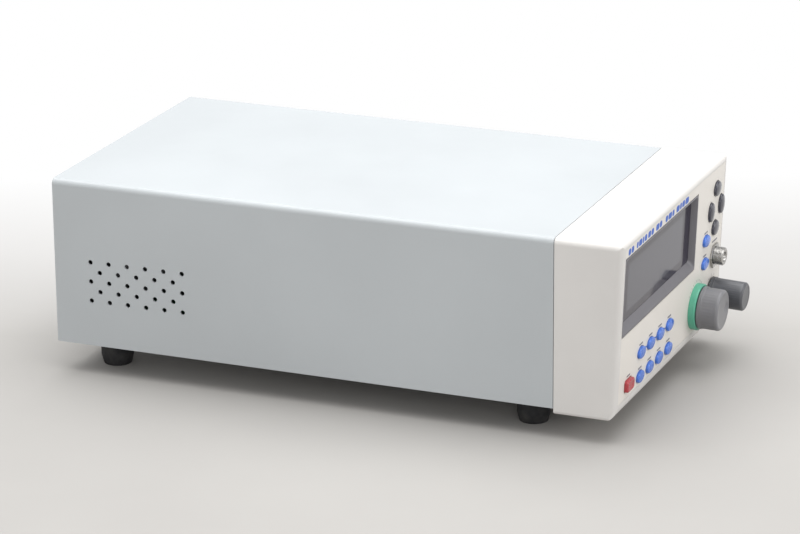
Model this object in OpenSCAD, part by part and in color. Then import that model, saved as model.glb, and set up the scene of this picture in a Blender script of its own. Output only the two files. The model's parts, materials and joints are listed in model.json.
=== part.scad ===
// Bench spectrum analyzer: a long sheet-metal cabinet behind a moulded front.
// Millimetres, +Z up, front towards -Y, +X to the operator's right.
// The origin is on the table, under the middle of the whole instrument.
// Panel places are given as (across, up): from the operator's left side and
// from the lower edge of the cover. Depths run back from the front face.

/* [Cabinet] */
// Width of the cabinet
body_w = 272; // [268:1:284]
// Height of the painted cover
cover_h = 144; // [142:1:150]
// Depth from the front face to the rear edge of the cover
body_d = 506; // [480:1:530]
// Thickness of the cover sheet
sheet_t = 1.5; // [1:0.1:2]
// Bend radius along the top edges of the cover
cover_r = 5; // [3:0.5:8]
// Height of the feet, floor to cover
foot_h = 26; // [24:1:30]

/* [Front moulding] */
// Depth of the front moulding
bezel_d = 58; // [50:1:62]
// How far the moulding hangs below the cover
bezel_drop = 5; // [3:0.5:8]
// Rounding of the front side edges
bezel_side_r = 5; // [3:0.5:6]
// Rounding of the front top edge
bezel_top_r = 4; // [3:0.5:5]
// Rounding of the front bottom edge
bezel_low_r = 9; // [6:0.5:10]
// Thickness of the front wall
front_t = 4; // [3.5:0.1:4.4]
// How far the lower edge of the front is set back
front_lean = 6.5; // [0:0.5:8]
// Open seam between the moulding and the cover
seam = 0.6; // [0.3:0.1:1]

/* [Display] */
// Width of the display opening
window_w = 182; // [170:1:182]
// Height of the display opening
window_h = 63; // [56:1:64]
// Depth of the sloping surround
window_recess = 5; // [4.6:0.1:6]

/* [Side vents] */
// Diameter of one vent hole
vent_d = 4.2; // [3:0.1:5]
// Spacing of the holes in a row
vent_pitch = 17; // [14:0.5:18]
// Holes in a long row
vent_cols = 6; // [4:1:8]

/* [Keys] */
// Width of an oval key
key_w = 16; // [14:0.5:17]
// Height of an oval key
key_h = 10; // [8:0.5:12]
// How far a key stands out
key_rise = 2.6; // [1.5:0.1:4]
// Travel of a key
key_travel = 1.2; // [0.8:0.1:1.2]
// Spacing of the function keys
key_pitch = 24; // [21:0.5:24]

/* [Knobs] */
// Diameter of the tuning knob
tuning_d = 36.5; // [30:0.5:37]
// Reach of the tuning knob from the front face
tuning_reach = 25; // [20:0.5:27]
// Diameter of the green collar
collar_d = 40; // [38:0.5:41]
// Diameter of the level knob
level_d = 26; // [20:0.5:28]
// Reach of the level knob from the front face
level_reach = 32; // [24:0.5:33]

/* [Rear] */
// Side of the square fan
fan_s = 80; // [80:1:80]
// Reach of the rear sockets behind the cover
jack_reach = 10; // [8:0.5:14]

/* [Hidden] */
$fn = 64;

// ---- frame ----
bezel_z = foot_h - bezel_drop;
bezel_h = cover_h + bezel_drop;
cover_from = bezel_d + seam;
cover_len = body_d - cover_from;
eps = 0.01;
// How far a cut runs past the face that it opens.
past = 1;

// The level knob reaches furthest forward, and the leaning front takes some of that back.
lean_angle = atan(front_lean / bezel_h);
level_at = [body_w - 27, 28];
level_edge = 2.4;
knob_draft = 0.5;
level_face_r = level_d / 2 - knob_draft - level_edge;
front_reach = level_reach * cos(lean_angle)
  - (cover_h - level_at[1] - level_face_r) * sin(lean_angle);
front_y = round(10 * (front_reach - body_d - jack_reach) / 2) / 10;

function px(across) = across - body_w / 2;
function pz(up) = foot_h + up;
function py(depth) = front_y + depth;

// ---- places on the front, (across, up) ----
window_at = [101, 97];
tuning_at = [203, 28];
rf_at = [body_w - 24, 60];
power_at = [31, 17];
cursor_at = [body_w - 27, 103.2];
cursor_dx = 13.8;
cursor_dz = 17.5;
menu_at = [222, 80.5];
enter_at = [222, 60];
function_from = [60, 35];
function_row = 21;
window_x0 = window_at[0] - window_w / 2;
window_x1 = window_at[0] + window_w / 2;
window_z0 = window_at[1] - window_h / 2;
window_z1 = window_at[1] + window_h / 2;
overlay_t = 0.7;
overlay_x0 = 8;
overlay_x1 = body_w - 5.5;
overlay_z0 = 6;
overlay_z1 = cover_h - 5;
overlay_gap = 0.2;
window_lip = 2;
function function_at(i) =
  [function_from[0] + key_pitch * (i % 4), function_from[1] - function_row * floor(i / 4)];

// ---- key details ----
key_gap = 0.35;
flange_extra = 3;
flange_t = 1.2;
stem_r = 2.5;
stem_end = 8.6;
switch_front = stem_end + key_travel + 0.3;
board_depth = 14;
board_t = 1.6;
switch_s = 6;
plunger_r = 1.7;
// The joined rectangles of the key board: across from and to, up from and to.
key_board_parts = [[46, 150, 4, 46], [150 - eps, body_w - 6, 44, 51], [140, 150, 40, 51],
  [206, body_w - 4, 51 - eps, 131]];
oval_n = 40;
cursor_tall = [13, 17];
cursor_wide = [16, 13];
cursor_rise = 3;
power_size = [17, 10];
power_rise = 3.2;
power_travel = 3;
power_stem_r = 3;
power_stem_end = 18;
power_corner_r = 2.5;
key_flange = front_t + 0.4;

// ---- shafts ----
shaft_r = 3;
bush_r = 4.5;
shaft_fit = 0.05;
collar_t = 6;
nut_t = 2.4;
knob_hollow_r = 9.5;
cap_t = 3;
rf_r = 7.94;
rf_shank_r = 7.6;
rf_reach = 10;
rf_nut_t = 2;
rf_bore_r = 4.1;
rf_back = 20;
rf_board_hole_r = 12.5;
insulator_hole_r = 1.55;
contact_r = 1.5;
contact_bore_r = 0.8;
contact_bore_len = 6;

// ---- metal sheet behind the front ----
subpanel_front = bezel_d - 8;
subpanel_edge = 4;
subpanel_low = 3.2;
subpanel_top = cover_h - 5;
subpanel_rf_r = 9;
// Its openings for the display, the controls and the power switch.
subpanel_cuts = [[30, 170, 80, 116], [196, body_w - 14, 12, 50], [20, 44, 8, 28]];

// ---- rear places ----
rear_depth = body_d - 6;
rear_t = 1.5;
fan_at = [76, 76];
inlet_at = [226, 46];
bnc_at = [[158, 110], [182, 110]];
serial_at = [170, 60];
ground_at = [226, 100];
fan_t = 25;
fan_bore_r = 38;
inlet_w = 28;
inlet_h = 48;
plug_up = 9.5;
plug_w = 24.4;
plug_h = 16.4;
plug_depth = 14;
drawer_up = -14.5;
fan_screw_s = 71.5;
fan_hub_r = 18;
fan_wire_r = 0.9;
guard_ring_r = [10, 17, 24, 31, 37.5];
rear_edge = 2.2;
bnc_hole_r = 6.6;
serial_hole = [20, 11];
serial_screw_x = 12.5;
ground_hole_r = 2.6;
rear_head_r = 3;
rear_head_h = 1.9;
rear_shank_r = 1.4;
fan_shank_r = 1.6;
rear_screw_in = 12;
drawer_w = 22;
drawer_h = 11;
drawer_gap = 0.3;
drawer_len = 21;
rear_out = rear_depth + rear_t;
rear_screw_at = [for (x = [rear_screw_in, body_w / 2, body_w - rear_screw_in])
  for (z = [rear_screw_in, cover_h - rear_screw_in]) [x, z]];

// ---- tray ----
tray_z = foot_h + sheet_t + 0.1;
tray_x = body_w / 2 - sheet_t - 0.3;
tray_front = bezel_d + 2;
tray_len = rear_depth - 0.3 - tray_front;
tray_side_h = 16;
tray_slot = [4, 60];
tray_slot_pitch = 14;
lip_w = 15;
cover_hole_r = 2.1;
tray_hole_r = 2;
cover_head_h = 2.2;
cover_shank_r = 1.9;
head_ratio = 1.9;
hex_socket_r = 1.4;
cover_screw_depths = [bezel_d + 40, body_d / 2 + 20, body_d - 70];
cover_screw_x = body_w / 2 - 9;

// ---- boards ----
standoff_h = 10;
main_board_at = [-112, 122];
main_board_size = [224, 190];
supply_board_at = [-118, 332];
supply_board_size = [86, 132];
board_hole_r = 1.6;
board_z = tray_z + sheet_t + standoff_h;
standoff_at = [[-104, 130], [104, 130], [-104, 300], [104, 300], [-40, 340], [-110, 340],
  [-40, 455], [-110, 455]];
can_at = [-20, 150];
can_w = 120;
can_d = 110;
can_h = 28;
core_at = [-105, 350];
core_size = [60, 50];
core_plate_t = 8;
coil_h = 34;
coil_inset = 6;

// ---- feet and bail ----
foot_x = 100;
foot_front = 88;
foot_rear = 468;
foot_r = 14;
foot_taper = 2;
foot_taper_h = 8;
foot_well_r = 4.6;
foot_well_h = 14;
foot_hole_r = 2.4;
boss_r = 7;
boss_w = 8;
bail_r = 2.5;
bail_fit = 0.08;
bail_z = 15;
bail_arm = 58;
bail_pivot = foot_front + 6;
bail_bend = 9;
bail_hook = 4;
bail_stub = 7;

// ---------- shared shapes ----------
// A rectangle with its own rounding at each corner: low left, low right, top right, top left.
module soft_rect(w, h, r) {
  corners = [[0, 0], [w, 0], [w, h], [0, h]];
  inward = [[1, 1], [-1, 1], [-1, -1], [1, -1]];
  difference() {
    square([w, h]);
    for (i = [0:3])
      if (r[i] > 0)
        difference() {
          translate(corners[i]) square(2 * r[i], center = true);
          translate(corners[i] + inward[i] * r[i]) circle(r = r[i]);
        }
  }
}

module oval(size) {
  polygon([for (i = [0:oval_n - 1])
    [size[0] / 2 * cos(i * 360 / oval_n), size[1] / 2 * sin(i * 360 / oval_n)]]);
}

// Extrudes an outline drawn as (across, up) from one depth to another.
module through_front(at, d0, d1) {
  translate([px(at[0]), py(d1), pz(at[1])])
    rotate([90, 0, 0]) linear_extrude(d1 - d0) children();
}

module front_rod(at, r, d0, d1) {
  translate([px(at[0]), py(d1), pz(at[1])])
    rotate([90, 0, 0]) cylinder(r = r, h = d1 - d0);
}

module front_box(x0, x1, z0, z1, d0, d1) {
  translate([px(x0), py(d0), pz(z0)]) cube([x1 - x0, d1 - d0, z1 - z0]);
}

module screw_down(at, z_head, r, len) {
  translate([at[0], at[1], z_head - cover_head_h]) cylinder(r = r * head_ratio, h = cover_head_h);
  translate([at[0], at[1], z_head - eps]) cylinder(r = r, h = len);
}

// ---------- cabinet ----------
module cover_profile(inset) {
  w = body_w - 2 * inset;
  h = cover_h - inset;
  r = cover_r - inset;
  translate([-w / 2, 0]) soft_rect(w, h, [0, 0, r, r]);
}

module vent_field(side) {
  x = side * body_w / 2;
  middle = [body_d - 76, 57];
  for (row = [-2:2]) {
    long_row = row % 2 == 0;
    count = long_row ? vent_cols : vent_cols - 1;
    for (i = [0:count - 1]) {
      depth = middle[0] + (i - (count - 1) / 2) * vent_pitch;
      translate([x - 3, py(depth), pz(middle[1] + row * vent_pitch / 2)])
        rotate([0, 90, 0]) cylinder(d = vent_d, h = 6, $fn = 24);
    }
  }
}

module cover_shell() {
  color("lightsteelblue") difference() {
    translate([0, py(body_d), foot_h]) rotate([90, 0, 0])
      linear_extrude(cover_len) difference() {
        cover_profile(0);
        translate([0, -eps]) cover_profile(sheet_t);
      }
    for (side = [-1, 1]) vent_field(side);
  }
  color("lightsteelblue") for (side = [-1, 1])
    difference() {
      translate([side * (body_w - lip_w) / 2, py(cover_from + cover_len / 2), foot_h + sheet_t / 2])
        cube([lip_w, cover_len, sheet_t], center = true);
      for (d = cover_screw_depths)
        translate([side * cover_screw_x, py(d), foot_h - 1]) cylinder(r = cover_hole_r, h = 4);
    }
}

module cover_screws() {
  color("silver") for (side = [-1, 1]) for (d = cover_screw_depths)
    difference() {
      screw_down([side * cover_screw_x, py(d)], foot_h, cover_shank_r, 6);
      translate([side * cover_screw_x, py(d), foot_h - cover_head_h - 0.1])
        cylinder(r = hex_socket_r, h = 1.4, $fn = 6);
    }
}

module foot_spots() {
  for (side = [-1, 1]) for (d = [foot_front, foot_rear])
    translate([side * foot_x, py(d), 0]) children();
}

module chassis_tray() {
  color("gainsboro") difference() {
    union() {
      translate([-tray_x, py(tray_front), tray_z]) cube([2 * tray_x, tray_len, sheet_t]);
      for (side = [0, 1]) mirror([side, 0, 0])
        translate([tray_x - sheet_t, py(tray_front), tray_z]) cube([sheet_t, tray_len, tray_side_h]);
    }
    for (side = [-1, 1]) for (d = cover_screw_depths)
      translate([side * cover_screw_x, py(d), tray_z - past]) cylinder(r = tray_hole_r, h = 4);
    foot_spots() cylinder(r = 2.2, h = 2 * foot_h);
    for (i = [-5:5])
      translate([i * tray_slot_pitch, py(body_d / 2 - 20), tray_z + sheet_t / 2])
        cube([tray_slot[0], tray_slot[1], 4 * sheet_t], center = true);
  }
}

module front_subpanel() {
  color("gainsboro") difference() {
    front_box(subpanel_edge, body_w - subpanel_edge, subpanel_low, subpanel_top,
      subpanel_front, subpanel_front + sheet_t);
    for (c = subpanel_cuts) front_box(c[0], c[1], c[2], c[3], subpanel_front - past, bezel_d);
    front_rod(rf_at, subpanel_rf_r, subpanel_front - past, bezel_d);
  }
}

// The four screw places at the corners of the fan.
module fan_corners(r, d0, d1) {
  for (i = [-1, 1]) for (j = [-1, 1])
    front_rod(fan_at + [i, j] * fan_screw_s / 2, r, d0, d1);
}

module rear_panel() {
  front = rear_depth - past;
  back = rear_out + past;
  color("lightsteelblue") difference() {
    through_front([rear_edge, rear_edge + 0.2], rear_depth, rear_out)
      soft_rect(body_w - 2 * rear_edge, cover_h - 2 * rear_edge - 0.2, [0, 0, cover_r, cover_r]);
    front_rod(fan_at, fan_bore_r - 1, front, back);
    fan_corners(2, front, back);
    front_box(inlet_at[0] - inlet_w / 2, inlet_at[0] + inlet_w / 2,
      inlet_at[1] - inlet_h / 2, inlet_at[1] + inlet_h / 2, front, back);
    for (at = bnc_at) front_rod(at, bnc_hole_r, front, back);
    front_box(serial_at[0] - serial_hole[0] / 2, serial_at[0] + serial_hole[0] / 2,
      serial_at[1] - serial_hole[1] / 2, serial_at[1] + serial_hole[1] / 2, front, back);
    front_rod(ground_at, ground_hole_r, front, back);
    for (at = rear_screw_at) front_rod(at, rear_shank_r + 0.2, front, back);
  }
}

module rear_screws() {
  guard_back = rear_out + 2.1;
  color("silver") {
    for (at = rear_screw_at) {
      front_rod(at, rear_head_r, rear_out, rear_out + rear_head_h);
      front_rod(at, rear_shank_r, rear_out - 5, rear_out + eps);
    }
    fan_corners(rear_head_r, guard_back, guard_back + rear_head_h);
    fan_corners(fan_shank_r, rear_out - 20, guard_back + eps);
  }
}

// ---------- front moulding ----------
// Leans a part of the front with the panel, about the panel's top edge.
module lean() {
  translate([0, front_y, pz(cover_h)]) rotate([lean_angle, 0, 0])
    translate([0, -front_y, -pz(cover_h)]) children();
}

// Rounds a corner between the leaning face and a level edge; way is 1 for the top, -1 for the bottom.
module profile_corner(centre, r, way) {
  to_face = [-cos(lean_angle), -sin(lean_angle)];
  difference() {
    polygon([centre, centre + 2 * r * to_face, centre + 3 * r * [-1, way], centre + 2 * r * [0, way]]);
    translate(centre) circle(r = r);
  }
}

// The moulding seen from its side: (depth, up from its lower edge).
module bezel_side() {
  top_y = bezel_top_r * (1 + sin(lean_angle)) / cos(lean_angle);
  low_y = (bezel_low_r + (bezel_h - bezel_low_r) * sin(lean_angle)) / cos(lean_angle);
  difference() {
    polygon([[front_lean, 0], [bezel_d, 0], [bezel_d, bezel_h], [0, bezel_h]]);
    profile_corner([top_y, bezel_h - bezel_top_r], bezel_top_r, 1);
    profile_corner([low_y, bezel_low_r], bezel_low_r, -1);
  }
}

// What is cut from a side edge of the front to round it.
module side_rounding(side) {
  spare = 20;
  lean() translate([side * body_w / 2, front_y, bezel_z - spare]) linear_extrude(bezel_h + 2 * spare)
    difference() {
      square(2 * bezel_side_r, center = true);
      translate([-side * bezel_side_r, bezel_side_r]) circle(r = bezel_side_r);
    }
}

module bezel_outer() {
  low_corner_r = 3;
  difference() {
    intersection() {
      translate([-body_w / 2, front_y, bezel_z]) rotate([90, 0, 90]) linear_extrude(body_w)
        bezel_side();
      translate([-body_w / 2, py(bezel_d), bezel_z]) rotate([90, 0, 0]) linear_extrude(2 * bezel_d)
        soft_rect(body_w, bezel_h, [low_corner_r, low_corner_r, cover_r, cover_r]);
    }
    side_rounding(-1);
    side_rounding(1);
  }
}

module bezel_hollow() {
  wall = 3;
  spare = 30;
  intersection() {
    lean() front_box(wall, body_w - wall, -spare, cover_h + spare, front_t, bezel_d + spare);
    front_box(wall, body_w - wall, wall - bezel_drop, cover_h - wall, 0, bezel_d + past);
  }
}

module front_key_holes(d0, d1, extra) {
  for (i = [0:7]) through_front(function_at(i), d0, d1) oval([key_w + extra, key_h + extra]);
  through_front(menu_at, d0, d1) oval([key_w + extra, key_h + extra]);
  through_front(enter_at, d0, d1) oval([key_w + extra, key_h + extra]);
  for (s = [-1, 1]) {
    through_front(cursor_at + [s * cursor_dx, 0], d0, d1) oval(cursor_tall + [extra, extra]);
    through_front(cursor_at + [0, s * cursor_dz], d0, d1) oval(cursor_wide + [extra, extra]);
  }
  through_front(power_at, d0, d1) power_outline(extra / 2);
}

module power_outline(grow) {
  w = power_size[0] + 2 * grow;
  h = power_size[1] + 2 * grow;
  r = power_corner_r + grow;
  translate([-w / 2, -h / 2]) soft_rect(w, h, [r, r, r, r]);
}

// A thin tongue that runs in under the cover, at the sides and top.
module bezel_tongue() {
  inset = sheet_t + 0.25;
  up = 22;
  under = 6;
  wall = 1.6;
  w = body_w - 2 * inset;
  h = cover_h - inset - up;
  color("antiquewhite") translate([-w / 2, py(bezel_d + under), pz(up)])
    rotate([90, 0, 0]) linear_extrude(under + 1) difference() {
      soft_rect(w, h, [0, 0, cover_r - inset, cover_r - inset]);
      translate([wall, -past]) square([w - 2 * wall, h + past - wall]);
    }
}

module window_hole(grow, d1) {
  front_box(window_x0 - grow, window_x1 + grow, window_z0 - grow, window_z1 + grow, -past, d1);
}

module front_bezel() {
  back = front_t + past;
  bezel_tongue();
  color("antiquewhite") difference() {
    bezel_outer();
    bezel_hollow();
    lean() {
      front_box(overlay_x0, overlay_x1, overlay_z0, overlay_z1, -past, overlay_t + 0.1);
      window_hole(window_lip, back);
      front_key_holes(-past, back, 2 * key_gap);
      front_rod(tuning_at, bush_r + 0.15, -past, back);
      front_rod(level_at, bush_r + 0.15, -past, back);
      front_rod(rf_at, rf_shank_r + 0.3, -past, back);
    }
  }
}

module front_overlay() {
  back = overlay_t + past;
  color("linen") lean() difference() {
    front_box(overlay_x0 + overlay_gap, overlay_x1 - overlay_gap, overlay_z0 + overlay_gap,
      overlay_z1 - overlay_gap, 0.05, overlay_t);
    window_hole(window_lip + 0.3, back);
    front_key_holes(-past, back, 2 * key_gap + 0.4);
    front_rod(tuning_at, bush_r + 0.4, -past, back);
    front_rod(level_at, bush_r + 0.4, -past, back);
    front_rod(rf_at, rf_shank_r + 0.5, -past, back);
  }
}

// The surround slopes in to the pane, most along its sill.
module display_frame() {
  slope_side = 2;
  sill = 6;
  rim = window_lip - 0.2;
  proud = 0.2;
  color("dimgray") lean() difference() {
    front_box(window_x0 - rim, window_x1 + rim, window_z0 - rim, window_z1 + rim, -proud, window_recess);
    hull() {
      front_box(window_x0, window_x1, window_z0, window_z1, -past, -proud);
      front_box(window_x0 + slope_side, window_x1 - slope_side, window_z0 + sill, window_z1 - slope_side,
        window_recess, window_recess + 0.5);
    }
  }
}

module display_window() {
  pane_t = 2.5;
  color("darkslateblue") lean()
    front_box(window_x0 - 1, window_x1 + 1, window_z0 + 2, window_z1 + 1,
      window_recess + 0.1, window_recess + 0.1 + pane_t);
}

module lcd_module() {
  lcd_front = 9;
  lcd_back = 21;
  edge = 6;
  side = 22;
  glass_low = 11;
  glass_top = 7;
  color("darkslategray") lean() difference() {
    front_box(window_x0 + edge, window_x1 - edge, window_z0 + 4, window_z1 - 1, lcd_front, lcd_back);
    front_box(window_x0 + side, window_x1 - side, window_z0 + glass_low, window_z1 - glass_top,
      lcd_front - past, lcd_front + 1.2);
  }
}

module key_board() {
  color("seagreen") lean() difference() {
    for (b = key_board_parts) front_box(b[0], b[1], b[2], b[3], board_depth, board_depth + board_t);
    front_rod(rf_at, rf_board_hole_r, board_depth - past, board_depth + board_t + past);
  }
}

module switch_spots() {
  for (i = [0:7]) translate(function_at(i)) children();
  translate(menu_at) children();
  translate(enter_at) children();
  for (s = [-1, 1]) {
    translate(cursor_at + [s * cursor_dx, 0]) children();
    translate(cursor_at + [0, s * cursor_dz]) children();
  }
}

module key_switches() {
  color("black") lean() {
    translate([-body_w / 2, py(board_depth), foot_h]) rotate([90, 0, 0])
      linear_extrude(board_depth - switch_front - 0.6) switch_spots() square(switch_s, center = true);
    translate([-body_w / 2, py(board_depth - 1), foot_h]) rotate([90, 0, 0])
      linear_extrude(board_depth - switch_front - 1) switch_spots() circle(r = plunger_r, $fn = 24);
  }
}

// ---------- knobs and their controls ----------
module tuning_collar() {
  hole_r = 9;
  edge = 1;
  color("mediumaquamarine") lean()
    translate([px(tuning_at[0]), front_y, pz(tuning_at[1])]) rotate([90, 0, 0])
      rotate_extrude() polygon([[hole_r, 0], [collar_d / 2, 0], [collar_d / 2, collar_t - edge],
        [collar_d / 2 - edge, collar_t], [hole_r, collar_t]]);
}

// A control behind the panel: its case, and the bushing that its shaft turns in.
module panel_control(at, case) {
  bushing = 5;
  case_back = front_t + 12;
  lean() difference() {
    union() {
      front_box(at[0] - case / 2, at[0] + case / 2, at[1] - case / 2, at[1] + case / 2,
        front_t + 0.05, case_back);
      front_rod(at, bush_r, -bushing, front_t + 2);
    }
    front_rod(at, shaft_r + shaft_fit, -bushing - past, case_back - 1.5);
  }
}

module tuning_encoder() {
  color("silver") panel_control(tuning_at, 22);
}

module level_pot() {
  color("silver") panel_control(level_at, 17);
}

module panel_nuts() {
  color("silver") lean() for (at = [tuning_at, level_at])
    difference() {
      front_rod_hex(at, 7, -nut_t, -0.05);
      front_rod(at, bush_r + 0.05, -nut_t - past, past);
    }
  color("silver") lean() difference() {
    front_rod_hex(rf_at, 11.5, 0.1 - rf_nut_t, -0.05);
    front_rod(rf_at, rf_shank_r + 0.05, -rf_nut_t - past, past);
  }
}

module front_rod_hex(at, r, d0, d1) {
  translate([px(at[0]), py(d1), pz(at[1])])
    rotate([90, 0, 0]) cylinder(r = r, h = d1 - d0, $fn = 6);
}

// The profile is (radius, distance from the front face). A pocket in its back clears the nut.
module knob_body(at, r, base, reach, edge, pocket) {
  bore = shaft_r + 0.02;
  face = r - knob_draft;
  translate([px(at[0]), front_y, pz(at[1])]) rotate([90, 0, 0]) rotate_extrude()
    polygon([[bore, base + pocket], [knob_hollow_r, base + pocket], [knob_hollow_r, base], [r, base],
      [face, reach - edge], [face - edge * 0.3, reach - edge * 0.3],
      [face - edge, reach], [0, reach], [0, reach - cap_t], [bore, reach - cap_t]]);
}

module tuning_knob() {
  dimple_r = 4;
  dimple_at = tuning_at + [9.5, 0];
  color("gray") lean() difference() {
    knob_body(tuning_at, tuning_d / 2, collar_t + 0.4, tuning_reach, 2, 3);
    front_rod(dimple_at, dimple_r, -tuning_reach - past, -tuning_reach + 1);
  }
}

module knob_shaft(at, reach) {
  color("silver") lean() front_rod(at, shaft_r, cap_t + 0.05 - reach, front_t + 10);
}

module tuning_shaft() {
  knob_shaft(tuning_at, tuning_reach);
}

module level_knob() {
  color("dimgray") lean() knob_body(level_at, level_d / 2, 0.8, level_reach, level_edge, 5.5);
}

module level_shaft() {
  knob_shaft(level_at, level_reach);
}

// ---------- keys ----------
module push_key(at, size, rise) {
  crown = 0.6;
  step = 1.8;
  lean() {
    through_front(at, crown - rise, key_flange + 0.1) oval(size);
    through_front(at, -rise, front_t) oval(size - [step, step]);
    through_front(at, key_flange, key_flange + flange_t) oval(size + [flange_extra, flange_extra]);
    front_rod(at, stem_r, front_t + 1, stem_end);
  }
}

module function_key(i) {
  color("royalblue") push_key(function_at(i), [key_w, key_h], key_rise);
}

module menu_key() {
  color("royalblue") push_key(menu_at, [key_w, key_h], key_rise);
}

module enter_key() {
  color("royalblue") push_key(enter_at, [key_w, key_h], key_rise);
}

module cursor_key(offset, size) {
  color("darkslategray") push_key(cursor_at + offset, size, cursor_rise);
}

module power_button() {
  color("firebrick") lean() {
    through_front(power_at, -power_rise, key_flange + 0.1) power_outline(0);
    through_front(power_at, key_flange, key_flange + flange_t) power_outline(1.2);
    front_rod(power_at, power_stem_r, front_t + 1, power_stem_end);
  }
}

module power_switch() {
  front = 14;
  back = 40;
  half = [8, 7];
  color("black") lean() difference() {
    front_box(power_at[0] - half[0], power_at[0] + half[0], power_at[1] - half[1], power_at[1] + half[1],
      front, back);
    front_rod(power_at, power_stem_r + 0.35, front - past, power_stem_end + power_travel + 1);
  }
}

// ---------- input connector ----------
// The thread for the plug's coupling nut is in front of the panel nut; the shank goes through the panel.
module rf_input_body() {
  flange_r = 10;
  contact_hole_r = 1.8;
  color("silver") lean() difference() {
    union() {
      front_rod(rf_at, rf_r, -rf_reach, -rf_nut_t);
      front_rod(rf_at, rf_shank_r, -rf_nut_t - eps, rf_back);
      front_rod(rf_at, flange_r, front_t + 0.05, front_t + 3);
    }
    front_rod(rf_at, rf_bore_r, -rf_reach - past, rf_back - 2);
    front_rod(rf_at, contact_hole_r, rf_back - 3, rf_back + past);
  }
}

module rf_input_insulator() {
  color("white") lean() difference() {
    front_rod(rf_at, rf_bore_r - 0.05, -1, rf_back - 2.1);
    front_rod(rf_at, insulator_hole_r, -2, rf_back);
  }
}

module rf_input_contact() {
  tip = 3 - rf_reach;
  color("gold") lean() difference() {
    front_rod(rf_at, contact_r, tip, rf_back + 2);
    front_rod(rf_at, contact_bore_r, tip - past, tip + contact_bore_len);
  }
}

// ---------- electronics ----------
// A board on four of the standoffs.
module board(at, size, holes) {
  color("seagreen") difference() {
    translate([at[0], py(at[1]), board_z]) cube([size[0], size[1], board_t]);
    for (i = holes)
      translate([standoff_at[i][0], py(standoff_at[i][1]), board_z - past])
        cylinder(r = board_hole_r, h = board_t + 2 * past);
  }
}

module main_board() {
  board(main_board_at, main_board_size, [0:3]);
}

module power_supply_board() {
  board(supply_board_at, supply_board_size, [4:7]);
}

module board_standoffs() {
  color("silver") for (at = standoff_at) {
    translate([at[0], py(at[1]), tray_z + sheet_t]) cylinder(r = 3.2, h = standoff_h, $fn = 6);
    translate([at[0], py(at[1]), board_z - 0.5]) cylinder(r = 1.5, h = board_t + 0.5);
    translate([at[0], py(at[1]), board_z + board_t]) cylinder(r = 2.8, h = 1.8);
  }
}

module rf_shield_can() {
  wall = 1;
  bay_w = can_w / 2 - 1.5 * wall;
  color("gainsboro") translate([can_at[0], py(can_at[1]), board_z + board_t]) difference() {
    cube([can_w, can_d, can_h]);
    translate([wall, wall, wall]) cube([bay_w, can_d - 2 * wall, can_h]);
    translate([(can_w + wall) / 2, wall, wall]) cube([bay_w, can_d - 2 * wall, can_h]);
  }
}

module rf_shield_lid() {
  over = 0.4;
  color("whitesmoke") translate([can_at[0] - over, py(can_at[1] - over), board_z + board_t + can_h + 0.05])
    cube([can_w + 2 * over, can_d + 2 * over, 1]);
}

module mains_transformer() {
  coil = core_size - 2 * [coil_inset, coil_inset];
  color("saddlebrown") translate([core_at[0], py(core_at[1]), board_z + board_t]) {
    cube([core_size[0], core_size[1], core_plate_t]);
    translate([coil_inset, coil_inset, core_plate_t - eps]) cube([coil[0], coil[1], coil_h]);
    translate([0, 0, core_plate_t + coil_h - 2 * eps]) cube([core_size[0], core_size[1], core_plate_t]);
  }
}

// ---------- rear ----------
module fan_frame() {
  x0 = fan_at[0] - fan_s / 2;
  z0 = fan_at[1] - fan_s / 2;
  d1 = rear_depth - 0.1;
  d0 = d1 - fan_t;
  floor_t = 2;
  motor_r = 20;
  spoke_w = 4;
  color("black") difference() {
    front_box(x0, x0 + fan_s, z0, z0 + fan_s, d0, d1);
    front_rod(fan_at, fan_bore_r, d0 + floor_t, d1 + past);
    difference() {
      front_rod(fan_at, fan_bore_r, d0 - past, d1 + past);
      front_rod(fan_at, motor_r, d0 - 2 * past, d1 + 2 * past);
      for (a = [45, 135])
        translate([px(fan_at[0]), py(d1 - fan_t / 2), pz(fan_at[1])]) rotate([0, a, 0])
          cube([2 * fan_bore_r, fan_t + 4, spoke_w], center = true);
    }
    fan_corners(2.2, d0 - past, d1 + past);
  }
}

module fan_rotor() {
  blades = 7;
  blade_size = [26, 21, 1.6];
  blade_x = 27;
  pitch = 38;
  back = rear_depth - 2.2;
  front = back - 19;
  color("dimgray") {
    front_rod(fan_at, fan_hub_r, front, back);
    intersection() {
      difference() {
        front_rod(fan_at, fan_bore_r - 1.2, front + 1, back - 1);
        front_rod(fan_at, fan_hub_r - 0.5, front, back);
      }
      translate([px(fan_at[0]), py((front + back) / 2), pz(fan_at[1])])
        for (i = [0:blades - 1]) rotate([0, i * 360 / blades, 0])
          translate([blade_x, 0, 0]) rotate([pitch, 0, 0]) cube(blade_size, center = true);
    }
  }
}

module fan_guard() {
  d0 = rear_out + 0.05;
  tab_r = 4;
  tab_t = 1.9;
  strut = 1.6;
  color("silver") {
    for (r = guard_ring_r)
      translate([px(fan_at[0]), py(d0 + 1.3), pz(fan_at[1])]) rotate([90, 0, 0])
        rotate_extrude() translate([r, 0]) circle(r = fan_wire_r, $fn = 16);
    difference() {
      for (a = [45, 135])
        translate([px(fan_at[0]), py(d0 + 1), pz(fan_at[1])]) rotate([0, a, 0])
          cube([fan_screw_s * sqrt(2) + 6, strut, strut], center = true);
      fan_corners(3.1, d0 - 2, d0 + 5);
    }
    difference() {
      fan_corners(tab_r, d0, d0 + tab_t);
      fan_corners(fan_shank_r + 0.2, d0 - past, d0 + tab_t + past);
    }
  }
}

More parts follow.
